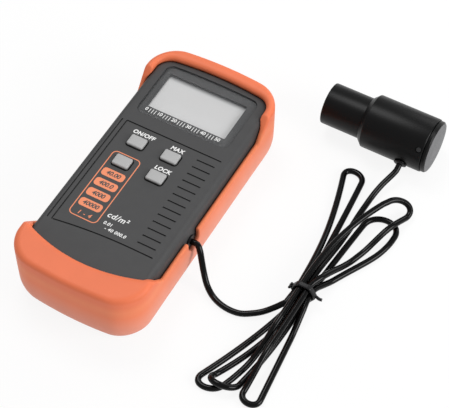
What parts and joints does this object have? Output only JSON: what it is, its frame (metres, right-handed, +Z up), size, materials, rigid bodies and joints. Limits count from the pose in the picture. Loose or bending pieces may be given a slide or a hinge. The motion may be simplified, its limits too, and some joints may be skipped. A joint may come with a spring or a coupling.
{
  "type": "handheld luminance meter",
  "caption": "Handheld luminance meter in a rubber holster, with a liquid crystal display, push keys and a cylindrical probe on a folded cord.",
  "frame": {"origin": "middle of the holster's back face, in the plane of the surface that the meter and probe lie on", "axes": "+Z up out of the display face, +Y along the meter towards its display end, +X across the meter towards the side where the cord leaves"},
  "size_m": [0.1495, 0.1841, 0.036],
  "materials": {
    "holster_rubber": "matte orange",
    "case_plastic": "fine matte, charcoal",
    "key_plastic": "matte light grey",
    "window_plastic": "clear, gloss",
    "display_glass": "light grey, satin",
    "black_plastic": "satin black",
    "conductive_rubber": "matte dark grey",
    "board_laminate": "green solder resist",
    "zinc_steel": "zinc plated",
    "nickel_can": "nickel plated",
    "battery_jacket": "printed steel jacket, plain dark blue",
    "lead_red": "satin red",
    "lead_black": "satin black",
    "foam": "open foam, dark grey",
    "cord_jacket": "semi-gloss black",
    "tie_plastic": "satin black",
    "probe_paint": "satin black",
    "disc_aluminium": "fine bead blast, grey",
    "filter_glass": "green colour-correcting glass",
    "trimmer_blue": "blue"
  },
  "bodies": {
    "meter": {"holster": "holster_rubber", "front_case": "case_plastic", "rear_case": "case_plastic", "case_screw_1": "zinc_steel", "case_screw_2": "zinc_steel", "case_screw_3": "zinc_steel", "case_screw_4": "zinc_steel", "display_window": "window_plastic", "display_panel": "display_glass", "display_frame": "black_plastic", "display_connector_upper": "conductive_rubber", "display_connector_lower": "conductive_rubber", "main_board": "board_laminate", "converter_chip": "black_plastic", "amplifier_chip": "black_plastic", "crystal": "nickel_can", "display_trimmer": "trimmer_blue", "range_trimmer": "trimmer_blue", "board_screw_1": "zinc_steel", "board_screw_2": "zinc_steel", "board_screw_3": "zinc_steel", "board_screw_4": "zinc_steel", "power_switch": "black_plastic", "range_switch": "black_plastic", "peak_switch": "black_plastic", "hold_switch": "black_plastic", "battery": "battery_jacket", "battery_snap": "black_plastic", "battery_lead_black": "lead_black", "battery_lead_red": "lead_red", "cord_gland": "black_plastic", "inner_cord": "cord_jacket", "probe_barrel": "probe_paint", "probe_nose": "probe_paint", "probe_filter": "filter_glass", "probe_retaining_ring": "black_plastic", "probe_baffle": "black_plastic", "probe_board": "board_laminate", "probe_photodiode": "nickel_can", "probe_end_disc": "disc_aluminium", "probe_grub_screw": "zinc_steel", "probe_grommet": "black_plastic", "probe_inner_cord": "cord_jacket", "cord_hank": "cord_jacket", "cord_tie": "tie_plastic", "cord_lead": "cord_jacket", "cord_tail": "cord_jacket"},
    "power_button": {"power_key": "key_plastic", "power_plunger": "black_plastic"},
    "range_button": {"range_key": "key_plastic", "range_plunger": "black_plastic"},
    "peak_button": {"peak_key": "key_plastic", "peak_plunger": "black_plastic"},
    "hold_button": {"hold_key": "key_plastic", "hold_plunger": "black_plastic"},
    "cover": {"battery_cover": "case_plastic", "battery_foam": "foam"}
  },
  "joints": [
    {"name": "power_press", "type": "slide", "parent": "meter", "child": "power_button", "axis": [0, 0, -1], "range_m": [0, 0.001], "stiffness_N_per_m": 600, "springref_m": -0.0005},
    {"name": "range_press", "type": "slide", "parent": "meter", "child": "range_button", "axis": [0, 0, -1], "range_m": [0, 0.001], "stiffness_N_per_m": 600, "springref_m": -0.0005},
    {"name": "peak_press", "type": "slide", "parent": "meter", "child": "peak_button", "axis": [0, 0, -1], "range_m": [0, 0.001], "stiffness_N_per_m": 600, "springref_m": -0.0005},
    {"name": "hold_press", "type": "slide", "parent": "meter", "child": "hold_button", "axis": [0, 0, -1], "range_m": [0, 0.001], "stiffness_N_per_m": 600, "springref_m": -0.0005},
    {"name": "cover_hinge", "type": "hinge", "parent": "meter", "child": "cover", "pos_m": [0, -0.0623, 0.0045], "axis": [1, 0, 0], "range_deg": [-70, 0]}
  ]
}
